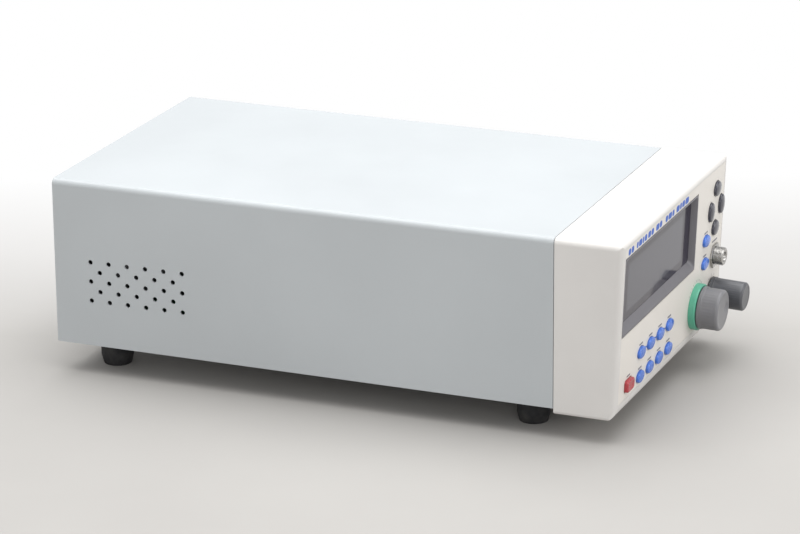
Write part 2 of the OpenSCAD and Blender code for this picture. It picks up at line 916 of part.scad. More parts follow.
module iec_inlet_body() {
  x = inlet_at[0];
  z = inlet_at[1];
  rim = 2;
  depth = 28;
  x_drawer = drawer_w / 2 + drawer_gap;
  z_drawer = drawer_h / 2 + drawer_gap;
  color("black") difference() {
    union() {
      front_box(x - inlet_w / 2 + 0.2, x + inlet_w / 2 - 0.2, z - inlet_h / 2 + 0.2, z + inlet_h / 2 - 0.2,
        rear_out - depth, rear_out + 1);
      front_box(x - inlet_w / 2 - rim, x + inlet_w / 2 + rim, z - inlet_h / 2 - rim, z + inlet_h / 2 + rim,
        rear_out + 0.05, rear_out + 2.5);
    }
    front_box(x - plug_w / 2, x + plug_w / 2, z + plug_up - plug_h / 2, z + plug_up + plug_h / 2,
      rear_out - plug_depth, rear_out + 4);
    front_box(x - x_drawer, x + x_drawer, z + drawer_up - z_drawer, z + drawer_up + z_drawer,
      rear_out - drawer_len - 1, rear_out + 4);
  }
}

module iec_pins() {
  pin = [2, 4];
  color("silver") for (p = [[0, 4], [-7, -4], [7, -4]]) {
    x = inlet_at[0] + p[0];
    z = inlet_at[1] + plug_up + p[1];
    front_box(x - pin[0] / 2, x + pin[0] / 2, z - pin[1] / 2, z + pin[1] / 2,
      rear_out - plug_depth, rear_out - 1);
  }
}

module fuse_drawer() {
  x = inlet_at[0];
  z = inlet_at[1] + drawer_up;
  wall = 1.5;
  base = 2;
  tab = [8, 1.5];
  tab_up = -4.5;
  color("dimgray") {
    difference() {
      front_box(x - drawer_w / 2, x + drawer_w / 2, z - drawer_h / 2, z + drawer_h / 2,
        rear_out - drawer_len, rear_out + 2.3);
      front_box(x - drawer_w / 2 + wall, x + drawer_w / 2 - wall, z - drawer_h / 2 + base, z + drawer_h,
        rear_out - drawer_len + base, rear_out - base);
    }
    front_box(x - tab[0] / 2, x + tab[0] / 2, z + tab_up, z + tab_up + tab[1],
      rear_out + 2.2, rear_out + 3.4);
  }
}

module rear_bnc_jacks() {
  back = body_d + jack_reach;
  barrel_r = 4.8;
  flange_r = 6.4;
  nut_r = 8;
  nut_back = rear_out + 3;
  lug = [1, 11];
  pin_r = 1.1;
  color("silver") for (at = bnc_at) {
    difference() {
      union() {
        front_rod(at, barrel_r, rear_out - 10, back);
        front_rod(at, flange_r, rear_out - 8, rear_out + 0.2);
        front_rod_hex(at, nut_r, rear_out + 0.1, nut_back);
        translate([px(at[0]), py(back - 4), pz(at[1])])
          rotate([0, 90, 0]) cylinder(r = lug[0], h = lug[1], center = true, $fn = 24);
      }
      front_rod(at, barrel_r - 0.8, nut_back, back + past);
    }
    front_rod(at, pin_r, nut_back - 0.1, back - 3);
  }
}

module serial_connector() {
  x = serial_at[0];
  z = serial_at[1];
  plate = [31, 12.4];
  shell = [17, 8.4];
  color("silver") {
    difference() {
      front_box(x - plate[0] / 2, x + plate[0] / 2, z - plate[1] / 2, z + plate[1] / 2,
        rear_out + 0.05, rear_out + 1);
      for (s = [-1, 1]) front_rod(serial_at + [s * serial_screw_x, 0], 1.5, rear_out - 1, rear_out + 3);
    }
    front_box(x - shell[0] / 2, x + shell[0] / 2, z - shell[1] / 2, z + shell[1] / 2,
      rear_out - 9, rear_out + 5.8);
    for (s = [-1, 1]) front_rod_hex(serial_at + [s * serial_screw_x, 0], 2.6, rear_out + 1, rear_out + 5);
  }
}

module ground_post() {
  post_r = 2;
  washer_r = 4.5;
  nut_r = 4.2;
  washer_back = rear_out + 1.2;
  color("goldenrod") {
    front_rod(ground_at, post_r, rear_out - 8, rear_out + 12);
    front_rod(ground_at, washer_r, rear_out + 0.05, washer_back);
    front_rod_hex(ground_at, nut_r, washer_back - 0.1, washer_back + 3.2);
  }
}

// ---------- feet and bail ----------
module foot_shape() {
  difference() {
    union() {
      cylinder(r1 = foot_r - foot_taper, r2 = foot_r, h = foot_taper_h);
      translate([0, 0, foot_taper_h]) cylinder(r = foot_r, h = foot_h - foot_taper_h);
    }
    translate([0, 0, -past]) cylinder(r = foot_well_r, h = foot_well_h + past);
    cylinder(r = foot_hole_r, h = foot_h + past);
  }
}

module front_feet() {
  boss_x = foot_x - foot_r - 3;
  color("darkslategray") for (side = [0, 1]) mirror([side, 0, 0])
    difference() {
      union() {
        translate([foot_x, py(foot_front), 0]) foot_shape();
        translate([boss_x, py(bail_pivot), bail_z]) rotate([0, 90, 0]) cylinder(r = boss_r, h = boss_w);
      }
      translate([boss_x - past, py(bail_pivot), bail_z])
        rotate([0, 90, 0]) cylinder(r = bail_r + bail_fit, h = boss_w + past);
    }
}

module rear_feet() {
  color("darkslategray") for (side = [0, 1]) mirror([side, 0, 0])
    translate([foot_x, py(foot_rear), 0]) foot_shape();
}

module foot_screws() {
  head_r = 4;
  head_h = 3;
  shank_r = 2.1;
  color("silver") foot_spots() translate([0, 0, foot_well_h - head_h]) {
    cylinder(r = head_r, h = head_h);
    cylinder(r = shank_r, h = foot_h - 5);
  }
}

// A round-bar bail, folded back under the cabinet; its ends turn outwards into the front feet.
module tilt_bail() {
  arm_x = foot_x - foot_r - 9;
  pivot_y = py(bail_pivot);
  arm_len = bail_arm - bail_hook - bail_bend;
  color("silver") for (side = [0, 1]) mirror([side, 0, 0]) {
    translate([arm_x + bail_hook, pivot_y, bail_z]) rotate([0, 90, 0]) cylinder(r = bail_r, h = bail_stub);
    translate([arm_x + bail_hook, pivot_y + bail_hook, bail_z]) rotate([0, 0, 180]) corner(bail_hook);
    translate([arm_x, pivot_y + bail_hook - eps, bail_z]) rotate([-90, 0, 0])
      cylinder(r = bail_r, h = arm_len + 2 * eps);
    translate([arm_x - bail_bend, pivot_y + bail_arm - bail_bend, bail_z]) corner(bail_bend);
    translate([-eps, pivot_y + bail_arm, bail_z]) rotate([0, 90, 0])
      cylinder(r = bail_r, h = arm_x - bail_bend + 2 * eps);
  }
}

// A quarter bend in the XY plane, from the +X side round to the +Y side of its centre.
module corner(r) {
  rotate_extrude(angle = 90) translate([r, 0]) circle(r = bail_r, $fn = 32);
}

// ---------- assembly ----------
cover_shell();
cover_screws();
chassis_tray();
front_subpanel();
rear_panel();
rear_screws();
front_bezel();
front_overlay();
display_frame();
display_window();
lcd_module();
key_board();
key_switches();
tuning_collar();
tuning_encoder();
level_pot();
panel_nuts();
rf_input_body();
rf_input_insulator();
rf_input_contact();
power_switch();
main_board();
board_standoffs();
rf_shield_can();
rf_shield_lid();
power_supply_board();
mains_transformer();
fan_frame();
fan_guard();
iec_inlet_body();
iec_pins();
rear_bnc_jacks();
serial_connector();
ground_post();
front_feet();
rear_feet();
foot_screws();
tuning_knob();
tuning_shaft();
level_knob();
level_shaft();
function_key(0);  // function_key_1
function_key(1);  // function_key_2
function_key(2);  // function_key_3
function_key(3);  // function_key_4
function_key(4);  // function_key_5
function_key(5);  // function_key_6
function_key(6);  // function_key_7
function_key(7);  // function_key_8
menu_key();
enter_key();
cursor_key([0, cursor_dz], cursor_wide);  // cursor_up
cursor_key([0, -cursor_dz], cursor_wide);  // cursor_down
cursor_key([-cursor_dx, 0], cursor_tall);  // cursor_left
cursor_key([cursor_dx, 0], cursor_tall);  // cursor_right
power_button();
fan_rotor();
fuse_drawer();
tilt_bail();
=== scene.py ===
import json
import math

import bmesh
import bpy
from mathutils import Euler, Matrix, Vector


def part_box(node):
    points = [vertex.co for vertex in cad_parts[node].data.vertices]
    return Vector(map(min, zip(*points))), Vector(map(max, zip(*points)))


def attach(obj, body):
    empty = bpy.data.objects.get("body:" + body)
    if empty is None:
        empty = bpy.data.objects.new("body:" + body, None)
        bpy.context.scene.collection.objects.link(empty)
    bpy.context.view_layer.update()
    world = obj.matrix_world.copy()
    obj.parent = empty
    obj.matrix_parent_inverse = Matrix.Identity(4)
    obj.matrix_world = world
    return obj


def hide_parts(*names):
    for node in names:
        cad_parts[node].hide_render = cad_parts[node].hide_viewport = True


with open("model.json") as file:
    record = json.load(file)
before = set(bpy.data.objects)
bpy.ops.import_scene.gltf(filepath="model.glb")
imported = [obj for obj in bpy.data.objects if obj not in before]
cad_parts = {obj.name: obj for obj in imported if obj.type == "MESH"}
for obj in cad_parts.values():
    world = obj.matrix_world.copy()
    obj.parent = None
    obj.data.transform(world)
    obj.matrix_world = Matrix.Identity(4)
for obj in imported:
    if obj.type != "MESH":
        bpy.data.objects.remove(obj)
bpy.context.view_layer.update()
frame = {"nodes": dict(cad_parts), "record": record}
MM = 0.001


# ---------- camera ----------
# The instrument is seen from its left, a little in front and from above, through a long lens.
CAMERA_AZIMUTH = math.radians(-67.388)
CAMERA_ELEVATION = math.radians(18.593)
CAMERA_ROLL = math.radians(-0.468)
CAMERA_PLACE = Vector((-2.6974, -1.1205, 1.0636))
CAMERA_LENS = 162.8


def make_camera():
    data = bpy.data.cameras.new("camera")
    data.lens = CAMERA_LENS
    data.sensor_width = 36
    data.clip_start = 0.1
    data.clip_end = 60
    camera = bpy.data.objects.new("camera", data)
    bpy.context.scene.collection.objects.link(camera)
    camera.location = CAMERA_PLACE
    tilt = Euler((math.pi / 2 - CAMERA_ELEVATION, 0, CAMERA_AZIMUTH)).to_matrix()
    camera.rotation_mode = "QUATERNION"
    camera.rotation_quaternion = (tilt @ Matrix.Rotation(CAMERA_ROLL, 3, "Z")).to_quaternion()
    bpy.context.scene.camera = camera


# ---------- materials ----------
class Shader:
    """A material being built: one principled shader with helpers for the textures that feed it."""

    def __init__(self, name, color, roughness, metallic=0.0, coat=0.0, coat_roughness=0.05,
                 specular=0.5):
        self.material = bpy.data.materials.new(name)
        self.material.use_nodes = True
        self.tree = self.material.node_tree
        self.bsdf = self.tree.nodes["Principled BSDF"]
        self.color = (*color, 1.0)
        self.set("Base Color", self.color)
        self.set("Roughness", roughness)
        self.set("Metallic", metallic)
        self.set("Coat Weight", coat)
        self.set("Coat Roughness", coat_roughness)
        self.set("Specular IOR Level", specular)
        self.place = self.add("ShaderNodeTexCoord").outputs["Object"]
        self.bump_from = None

    def add(self, kind, **settings):
        node = self.tree.nodes.new(kind)
        for key, value in settings.items():
            setattr(node, key, value)
        return node

    def set(self, socket, value):
        self.bsdf.inputs[socket].default_value = value

    def link(self, a, b):
        self.tree.links.new(a, b)

    def noise(self, scale, detail=2.0, stretch=(1, 1, 1)):
        mapping = self.add("ShaderNodeMapping")
        mapping.inputs["Scale"].default_value = stretch
        self.link(self.place, mapping.inputs["Vector"])
        noise = self.add("ShaderNodeTexNoise")
        noise.inputs["Scale"].default_value = scale
        noise.inputs["Detail"].default_value = detail
        self.link(mapping.outputs["Vector"], noise.inputs["Vector"])
        return noise.outputs["Fac"]

    def ranged(self, source, low, high, to_low, to_high):
        node = self.add("ShaderNodeMapRange")
        limits = {"From Min": low, "From Max": high, "To Min": to_low, "To Max": to_high}
        for name, value in limits.items():
            node.inputs[name].default_value = value
        self.link(source, node.inputs["Value"])
        return node.outputs["Result"]

    def tint(self, mask, color):
        """Mixes another colour into the base colour where the mask is 1."""
        mix = self.add("ShaderNodeMix", data_type="RGBA")
        self.link(mask, mix.inputs["Factor"])
        current = self.bsdf.inputs["Base Color"]
        if current.is_linked:
            self.link(current.links[0].from_socket, mix.inputs["A"])
        else:
            mix.inputs["A"].default_value = self.color
        mix.inputs["B"].default_value = (*color, 1.0)
        self.link(mix.outputs["Result"], self.bsdf.inputs["Base Color"])

    def vary_roughness(self, source, low, high):
        self.link(self.ranged(source, 0.3, 0.7, low, high), self.bsdf.inputs["Roughness"])

    def bump(self, height, strength, distance):
        node = self.add("ShaderNodeBump")
        node.inputs["Strength"].default_value = strength
        node.inputs["Distance"].default_value = distance
        self.link(height, node.inputs["Height"])
        if self.bump_from:
            self.link(self.bump_from, node.inputs["Normal"])
        self.bump_from = node.outputs["Normal"]
        self.link(self.bump_from, self.bsdf.inputs["Normal"])


def shade(color, factor):
    return tuple(min(1.0, c * factor) for c in color)


def cover_paint():
    color = (0.475, 0.502, 0.518)
    s = Shader("cover_paint", color, 0.42)
    s.tint(s.ranged(s.noise(5, 3), 0.35, 0.65, 0, 1), shade(color, 0.93))
    s.tint(s.ranged(s.noise(2600, 2), 0.60, 0.72, 0, 0.35), shade(color, 1.15))
    s.vary_roughness(s.noise(30, 3), 0.38, 0.47)
    s.bump(s.noise(900, 2), 0.18, 0.0002)
    s.bump(s.noise(60, 2), 0.05, 0.0006)
    return s.material


def moulded(name, color, roughness=0.5, grain=1500, depth=0.2, coat=0.0):
    """Moulded plastic with a fine spark-eroded grain and a slightly uneven sheen."""
    s = Shader(name, color, roughness, coat=coat)
    s.tint(s.ranged(s.noise(14, 3), 0.35, 0.7, 0, 1), shade(color, 0.95))
    s.vary_roughness(s.noise(45, 3), roughness * 0.9, min(1.0, roughness * 1.12))
    s.bump(s.noise(grain, 3), depth, 0.00012)
    return s.material


def polished(name, color, roughness=0.22, grime=0.88):
    """Smooth glossy plastic: faint waviness, rubbed patches and a clear surface."""
    s = Shader(name, color, roughness, coat=0.35, coat_roughness=0.08)
    s.tint(s.ranged(s.noise(120, 3), 0.45, 0.7, 0, 1), shade(color, grime))
    s.vary_roughness(s.noise(160, 4), roughness * 0.8, roughness * 1.4)
    s.bump(s.noise(220, 2), 0.05, 0.0002)
    return s.material


def metal(name, color, roughness, brushed=(1, 1, 1), scratch=0.12, metallic=1.0):
    s = Shader(name, color, roughness, metallic=metallic)
    s.tint(s.ranged(s.noise(70, 4), 0.4, 0.7, 0, 1), shade(color, 0.82))
    s.vary_roughness(s.noise(300, 4, brushed), roughness * 0.75, roughness * 1.35)
    s.bump(s.noise(700, 3, brushed), scratch, 0.0001)
    return s.material


def zinc_sheet():
    s = Shader("zinc_sheet", (0.60, 0.61, 0.62), 0.36, metallic=1.0)
    voronoi = s.add("ShaderNodeTexVoronoi")
    voronoi.inputs["Scale"].default_value = 70
    s.link(s.place, voronoi.inputs["Vector"])
    s.tint(s.ranged(voronoi.outputs["Distance"], 0.1, 0.7, 0, 1), (0.50, 0.51, 0.53))
    s.vary_roughness(s.noise(220, 4), 0.3, 0.46)
    s.bump(s.noise(500, 3), 0.08, 0.0001)
    return s.material


def circuit_board():
    s = Shader("circuit_board", (0.035, 0.16, 0.085), 0.35, coat=0.3)
    bricks = s.add("ShaderNodeTexBrick")
    bricks.inputs["Scale"].default_value = 120
    bricks.inputs["Mortar Size"].default_value = 0.03
    s.link(s.place, bricks.inputs["Vector"])
    s.tint(bricks.outputs["Fac"], (0.07, 0.27, 0.14))
    s.bump(bricks.outputs["Fac"], 0.2, 0.0001)
    return s.material


def laminations():
    s = Shader("laminations", (0.10, 0.075, 0.06), 0.45, metallic=0.5)
    wave = s.add("ShaderNodeTexWave", bands_direction="Y")
    wave.inputs["Scale"].default_value = 400
    s.link(s.place, wave.inputs["Vector"])
    s.tint(wave.outputs["Fac"], (0.20, 0.17, 0.15))
    s.bump(wave.outputs["Fac"], 0.3, 0.0002)
    return s.material


def smoked_acrylic(low, high):
    """Dark acrylic; the unlit display behind it shows as a slightly greyer rectangle."""
    s = Shader("smoked_acrylic", (0.030, 0.026, 0.042), 0.10, coat=0.12, coat_roughness=0.03,
               specular=0.35)
    parts = s.add("ShaderNodeSeparateXYZ")
    s.link(s.place, parts.inputs["Vector"])
    masks = []
    for axis, a, b in (("X", low.x, high.x), ("Z", low.z, high.z)):
        for edge, inward in ((a, 1), (b, -1)):
            soft = 0.0004 * inward
            masks.append(s.ranged(parts.outputs[axis], edge - soft, edge + soft, 0, 1))
    total = masks[0]
    for mask in masks[1:]:
        times = s.add("ShaderNodeMath", operation="MULTIPLY")
        s.link(total, times.inputs[0])
        s.link(mask, times.inputs[1])
        total = times.outputs["Value"]
    s.tint(total, (0.085, 0.085, 0.105))
    s.tint(s.ranged(s.noise(60, 4), 0.5, 0.8, 0, 0.25), (0.07, 0.07, 0.08))
    s.vary_roughness(s.noise(90, 5), 0.05, 0.13)
    return s.material


def rubber():
    s = Shader("foot_rubber", (0.022, 0.022, 0.024), 0.72, specular=0.35)
    s.tint(s.ranged(s.noise(90, 4), 0.45, 0.75, 0, 1), (0.05, 0.048, 0.046))
    s.vary_roughness(s.noise(200, 4), 0.62, 0.85)
    s.bump(s.noise(1400, 3), 0.25, 0.00015)
    return s.material


def floor_material(far_point, away):
    """Pale grey, plain, fading behind the instrument into a painted white glow: an emission that stands in
    for the brightly lit white sweep.
    """
    s = Shader("floor", (0.425, 0.413, 0.396), 0.75, specular=0.2)
    s.tint(s.ranged(s.noise(3.0, 5), 0.35, 0.7, 0, 1), (0.397, 0.385, 0.370))
    s.bump(s.noise(40, 4), 0.05, 0.001)
    dot = s.add("ShaderNodeVectorMath", operation="DOT_PRODUCT")
    s.link(s.place, dot.inputs[0])
    dot.inputs[1].default_value = away
    edge = Vector(far_point).dot(Vector(away))
    fade = s.ranged(dot.outputs["Value"], edge - 0.40, edge + 0.06, 0, 1)
    # Painted light: the far part of the floor glows with this emission instead of being lit.
    glow = s.add("ShaderNodeEmission")
    glow.inputs["Strength"].default_value = 1.0
    mix = s.add("ShaderNodeMixShader")
    s.link(fade, mix.inputs["Fac"])
    s.link(s.bsdf.outputs["BSDF"], mix.inputs[1])
    s.link(glow.outputs["Emission"], mix.inputs[2])
    s.link(mix.outputs["Shader"], s.tree.nodes["Material Output"].inputs["Surface"])
    return s.material


# ---------- mesh helpers ----------
def new_object(name, mesh):
    piece = bpy.data.objects.new(name, mesh)
    bpy.context.scene.collection.objects.link(piece)
    return piece


def smooth(mesh, angle=35):
    for polygon in mesh.polygons:
        polygon.use_smooth = True
    mesh.set_sharp_from_angle(angle=math.radians(angle))


def mesh_object(name, verts, faces, angle=35):
    mesh = bpy.data.meshes.new(name)
    mesh.from_pydata([tuple(v) for v in verts], [], faces)
    tidy = bmesh.new()
    tidy.from_mesh(mesh)
    bmesh.ops.remove_doubles(tidy, verts=tidy.verts, dist=1e-7)
    bmesh.ops.recalc_face_normals(tidy, faces=tidy.faces)
    tidy.to_mesh(mesh)
    tidy.free()
    smooth(mesh, angle)
    return new_object(name, mesh)


def loft(name, rings, angle=35):
    """A closed skin through rings of equal count; the first and last ring are capped."""
    count = len(rings[0])
    verts = [p for ring in rings for p in ring]
    faces = []
    for i in range(len(rings) - 1):
        for j in range(count):
            k = (j + 1) % count
            faces.append((i * count + j, i * count + k, (i + 1) * count + k, (i + 1) * count + j))
    faces.append(tuple(range(count))[::-1])
    last = (len(rings) - 1) * count
    faces.append(tuple(range(last, last + count)))
    return mesh_object(name, verts, faces, angle)


def oval_ring(cx, cz, a, b, y, power=2.0, count=72):
    """A superellipse in a plane that faces the operator."""
    ring = []
    for i in range(count):
        t = 2 * math.pi * i / count
        c, s = math.cos(t), math.sin(t)
        ring.append((cx + a * math.copysign(abs(c) ** (2 / power), c), y,
                     cz + b * math.copysign(abs(s) ** (2 / power), s)))
    return ring


def arc(r, steps, start=0.0, end=90.0):
    """Points (cos, sin) * r from one angle to another, in degrees."""
    angles = [math.radians(start + (end - start) * i / steps) for i in range(steps + 1)]
    return [(r * math.cos(a), r * math.sin(a)) for a in angles]


def turned(name, cx, cz, profile, count=96, angle=35, shape=None):
    """Turns a profile of (radius, y) about a line that faces the operator.

    shape(r, angle, y) gives back a bent (r, y).
    """
    rings = []
    for r, y in profile:
        ring = []
        for i in range(count):
            t = 2 * math.pi * i / count
            rr, yy = shape(r, t, y) if shape else (r, y)
            ring.append((cx + rr * math.cos(t), yy, cz + rr * math.sin(t)))
        rings.append(ring)
    return loft(name, rings, angle)


def flat_box(node):
    """The box of a CAD node of the leaning front, measured as if the front stood upright."""
    points = [UPRIGHT @ v.co for v in frame["nodes"][node].data.vertices]
    return (Vector([min(p[i] for p in points) for i in range(3)]),
            Vector([max(p[i] for p in points) for i in range(3)]))


def centre(node):
    low, high = flat_box(node)
    return (low + high) / 2


def clear_slots(piece, material):
    piece.data.materials.clear()
    piece.data.materials.append(material)


def stand_for(piece, node, material, lean=False):
    """The piece rides on the node's body, is shown in its place and takes its slot."""
    if lean:
        piece.data.transform(LEAN)
    clear_slots(piece, material)
    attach(piece, BODY_OF[node])
    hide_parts(node)
    return piece


def add_to(piece, body, material):
    clear_slots(piece, material)
    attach(piece, body)
    return piece


SAME_PLACE = 2e-6
SHARP = math.radians(30)
NEARLY_FLAT = math.radians(0.8)


def softened(node, width, material):
    """A copy of a CAD node with its hard edges rounded by a small radius."""
    mesh = frame["nodes"][node].data.copy()
    mesh.name = node + "_soft"
    work = bmesh.new()
    work.from_mesh(mesh)
    bmesh.ops.remove_doubles(work, verts=work.verts, dist=SAME_PLACE)
    bmesh.ops.dissolve_limit(work, angle_limit=NEARLY_FLAT, verts=work.verts, edges=work.edges)
    edges = [e for e in work.edges if len(e.link_faces) == 2 and e.calc_face_angle(0) > SHARP]
    bmesh.ops.bevel(work, geom=edges, offset=width, offset_type="OFFSET", segments=2,
                    profile=0.6, affect="EDGES", clamp_overlap=True)
    bmesh.ops.recalc_face_normals(work, faces=work.faces)
    work.to_mesh(mesh)
    work.free()
    if mesh.attributes.get("custom_normal"):
        mesh.attributes.remove(mesh.attributes["custom_normal"])
    smooth(mesh, 40)
    return stand_for(new_object(node + "_soft", mesh), node, material)


BODY_OF = {node: body for body, nodes in frame["record"]["behaviour"]["bodies"].items() for node in nodes}

# ---------- the front's own frame ----------
# It leans: its lower edge is set back. LEAN turns a point of an upright front into the real place.
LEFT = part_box("cover_shell")[0].x
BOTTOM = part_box("cover_shell")[0].z
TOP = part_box("cover_shell")[1].z
JOINTS = {joint["name"]: joint for joint in frame["record"]["behaviour"]["joints"]}
TURN = JOINTS["tuning_turn"]
LEAN_ANGLE = math.atan2(-TURN["axis"][2], -TURN["axis"][1])
BELOW = (TOP - TURN["pos_m"][2]) / math.cos(LEAN_ANGLE)
FRONT = TURN["pos_m"][1] - BELOW * math.sin(LEAN_ANGLE)
PIVOT = Matrix.Translation((0, FRONT, TOP))
LEAN = PIVOT @ Matrix.Rotation(LEAN_ANGLE, 4, "X") @ PIVOT.inverted()
UPRIGHT = LEAN.inverted()


# ---------- keys ----------
# Depths are measured from the front face; the flange holds a key in behind the panel.
FLANGE_EXTRA = 3 * MM
POWER_FLANGE = 1.2 * MM
POWER_STEM_R = 3 * MM
CROWN_STEPS = 9
DISH_STEPS = 8
FLANGE_FRONT = 4.4 * MM
FLANGE_BACK = 5.6 * MM
STEM_R = 2.5 * MM


def oval_key(node, material, edge=1.1 * MM, crown=0.45 * MM):
    """A domed oval key on a flange and a stem, with a rolled edge."""
    low, high = flat_box(node)
    c = (low + high) / 2
    a = (high.x - low.x - FLANGE_EXTRA) / 2
    b = (high.z - low.z - FLANGE_EXTRA) / 2
    rim = low.y + crown

    def ring(grow, y):
        return oval_ring(c.x, c.z, a + grow, b + grow, y)

    def stem(y):
        return oval_ring(c.x, c.z, STEM_R, STEM_R, y)

    half = FLANGE_EXTRA / 2
    rings = [stem(high.y), stem(FRONT + FLANGE_BACK), ring(half, FRONT + FLANGE_BACK),
             ring(half, FRONT + FLANGE_FRONT), ring(0, FRONT + FLANGE_FRONT), ring(0, rim + edge)]
    rings += [ring(-edge + dx, rim + edge - dy) for dx, dy in arc(edge, 6)[1:]]
    inner_a, inner_b = a - edge, b - edge
    for step in range(1, CROWN_STEPS):
        t = 1 - step / CROWN_STEPS
        lift = crown * (1 - t * t)
        rings.append(oval_ring(c.x, c.z, inner_a * t, inner_b * t, rim - lift))
    return stand_for(loft(node + "_cap", rings), node, material, True)


def power_key(material):
    """A soft-cornered button with a shallow dish in its face."""
    low, high = flat_box("power_button")
    c = (low + high) / 2
    a = (high.x - low.x) / 2 - POWER_FLANGE
    b = (high.z - low.z) / 2 - POWER_FLANGE
    edge = 1.2 * MM
    dish = 0.5 * MM

    def ring(grow, y, scale=1.0):
        return oval_ring(c.x, c.z, (a + grow) * scale, (b + grow) * scale, y, power=5.0)

    stem = [oval_ring(c.x, c.z, POWER_STEM_R, POWER_STEM_R, y) for y in (high.y, FRONT + FLANGE_BACK)]
    rings = stem + [ring(POWER_FLANGE, FRONT + FLANGE_BACK), ring(POWER_FLANGE, FRONT + FLANGE_FRONT),
                    ring(0, FRONT + FLANGE_FRONT), ring(0, low.y + edge)]
    rings += [ring(-edge + dx, low.y + edge - dy) for dx, dy in arc(edge, 6)[1:]]
    for step in range(1, DISH_STEPS):
        t = 1 - step / DISH_STEPS
        rings.append(ring(-edge, low.y + dish * (1 - t * t), t))
    return stand_for(loft("power_button_cap", rings), "power_button", material, True)


# ---------- knobs ----------
SHAFT_HOLE_R = 3.02 * MM
KNOB_HOLLOW_R = 9.5 * MM
FLUTE_COUNT = 40
GRIP_STEPS = 10
FACE_RINGS = 22


def knob(node, material, flutes, dimple, skirt):
    """A turned knob: hollow back, shallow grip flutes, rolled front edge, dished face."""
    low, high = flat_box(node)
    c = (low + high) / 2
    radius = (high.x - low.x) / 2
    front, back = low.y, high.y
    edge = 2.35 * MM
    face_r = radius - 0.6 * MM - edge
    face_dip = 0.35 * MM
    waist = radius - 0.5 * MM
    hollow_y = back - 4 * MM
    bevel = 0.4 * MM
    grip_from = back - skirt
    grip_to = front + edge + bevel
    profile = [(SHAFT_HOLE_R, hollow_y), (KNOB_HOLLOW_R, hollow_y), (KNOB_HOLLOW_R, back),
               (radius - bevel, back), (radius, back - bevel), (radius, grip_from + 0.3 * MM),
               (waist, grip_from), (waist, grip_from - bevel)]
    for i in range(1, GRIP_STEPS + 1):
        profile.append((radius - 0.6 * MM, grip_from - bevel + (grip_to - grip_from) * i / GRIP_STEPS))
    profile += [(face_r + dx, front + edge - dy) for dx, dy in arc(edge, 7)]
    profile += [(face_r * (1 - i / FACE_RINGS), front + face_dip * min(1, i / 4))
                for i in range(1, FACE_RINGS)]

    dimple_in, dimple_r, dimple_depth = 9 * MM, 5.2 * MM, 1.6 * MM

    def shape(r, t, y):
        if grip_to < y < grip_from - 0.3 * MM and r > face_r:
            r -= flutes * (0.5 - 0.5 * math.cos(t * FLUTE_COUNT))
        if r < face_r - 0.2 * MM and y < front + edge and dimple:
            dx = r * math.cos(t) - (radius - dimple_in)
            dz = r * math.sin(t)
            d = math.hypot(dx, dz) / dimple_r
            if d < 1:
                y += dimple_depth * (1 - d * d)
        return r, y

    return stand_for(turned(node + "_grip", c.x, c.z, profile, 160, 32, shape), node, material, True)


def make_collar(material):
    low, high = flat_box("tuning_collar")
    c = (low + high) / 2
    radius = (high.x - low.x) / 2
    hole_r = 9 * MM
    edge = 1.4 * MM
    step = 0.4 * MM
    profile = [(hole_r, low.y + 0.5 * MM), (hole_r, high.y), (radius, high.y), (radius, low.y + edge)]
    profile += [(radius - edge + dx, low.y + edge - dy) for dx, dy in arc(edge, 6)[1:]]
    profile += [(radius - 2.2 * MM, low.y + step), (hole_r + 0.5 * MM, low.y + step)]
    return stand_for(turned("tuning_collar_ring", c.x, c.z, profile), "tuning_collar", material, True)


# ---------- display ----------
def rect_ring(x0, x1, z0, z1, y, r, steps=8):
    """A rounded rectangle that faces the operator."""
    ring = []
    corners = ((x1 - r, z1 - r, 0), (x0 + r, z1 - r, 90), (x0 + r, z0 + r, 180), (x1 - r, z0 + r, 270))
    for cx, cz, start in corners:
        ring += [(cx + dx, y, cz + dz) for dx, dz in arc(r, steps, start, start + 90)]
    return ring


def display_surround(material):
    """A closed frame: outside wall, rolled lip, and slopes down to the pane, widest along the sill."""
    low, high = flat_box("display_frame")
    wall, slope, sill = 1.8 * MM, 2 * MM, 6 * MM
    soft, lip = 0.3 * MM, 0.4 * MM
    x0, x1, z0, z1 = low.x, high.x, low.z, high.z
    a0, a1, b0, b1 = x0 + wall, x1 - wall, z0 + wall, z1 - wall
    rings = [rect_ring(x0, x1, z0, z1, high.y, 3.5 * MM),
             rect_ring(x0, x1, z0, z1, low.y + soft, 3.5 * MM),
             rect_ring(x0 + soft, x1 - soft, z0 + soft, z1 - soft, low.y, 3.3 * MM),
             rect_ring(a0 - lip, a1 + lip, b0 - lip, b1 + lip, low.y, 4.2 * MM),
             rect_ring(a0, a1, b0, b1, low.y + lip, 4 * MM),
             rect_ring(a0 + slope, a1 - slope, b0 + sill, b1 - slope, high.y, 3 * MM)]
    count = len(rings[0])
    verts = [p for ring in rings for p in ring]
    faces = []
    for i in range(len(rings)):
        n = (i + 1) % len(rings)
        for j in range(count):
            k = (j + 1) % count
            faces.append((i * count + j, i * count + k, n * count + k, n * count + j))
    return stand_for(mesh_object("display_surround", verts, faces, 30), "display_frame", material, True)


def display_pane():
    """The smoked pane, with the unlit display showing through it as a greyer rectangle."""
    low, high = flat_box("display_window")
    e, r = 0.4 * MM, 3 * MM
    rings = [rect_ring(low.x, high.x, low.z, high.z, high.y, r),
             rect_ring(low.x, high.x, low.z, high.z, low.y + e, r),
             rect_ring(low.x + e, high.x - e, low.z + e, high.z - e, low.y, r)]
    lcd_low, lcd_high = flat_box("lcd_module")
    inset = Vector((16 * MM, 0, 9 * MM))
    pane = loft("display_pane", rings, 30)
    return stand_for(pane, "display_window", smoked_acrylic(lcd_low + inset, lcd_high - inset), True)


